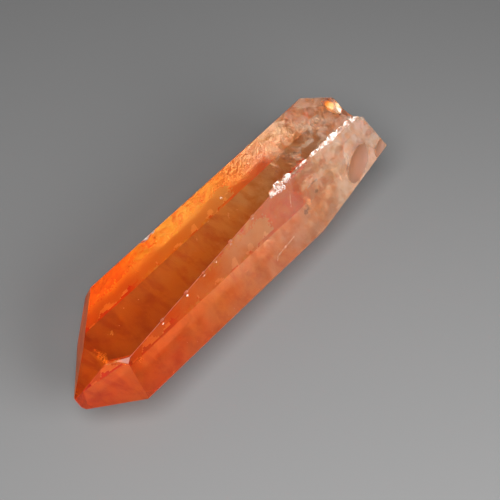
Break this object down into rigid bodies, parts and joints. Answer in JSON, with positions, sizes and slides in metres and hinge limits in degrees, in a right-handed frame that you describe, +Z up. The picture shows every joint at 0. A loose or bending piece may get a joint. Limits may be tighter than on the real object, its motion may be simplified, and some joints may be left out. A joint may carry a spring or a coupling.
{
  "type": "tangerine quartz crystal",
  "caption": "Orange-stained natural quartz point, six-sided, lying on a prism face, with a clearer broken base and a chipped ridge.",
  "frame": {"origin": "under the middle of the crystal, on the prism face it rests on", "axes": "+X along the crystal towards its point, +Z up"},
  "size_m": [0.0392, 0.0122, 0.0116],
  "materials": {
    "crystal": "clear to cloudy quartz stained orange by iron oxide, glossy natural faces"
  },
  "bodies": {
    "root": {"crystal": "crystal"}
  },
  "joints": []
}
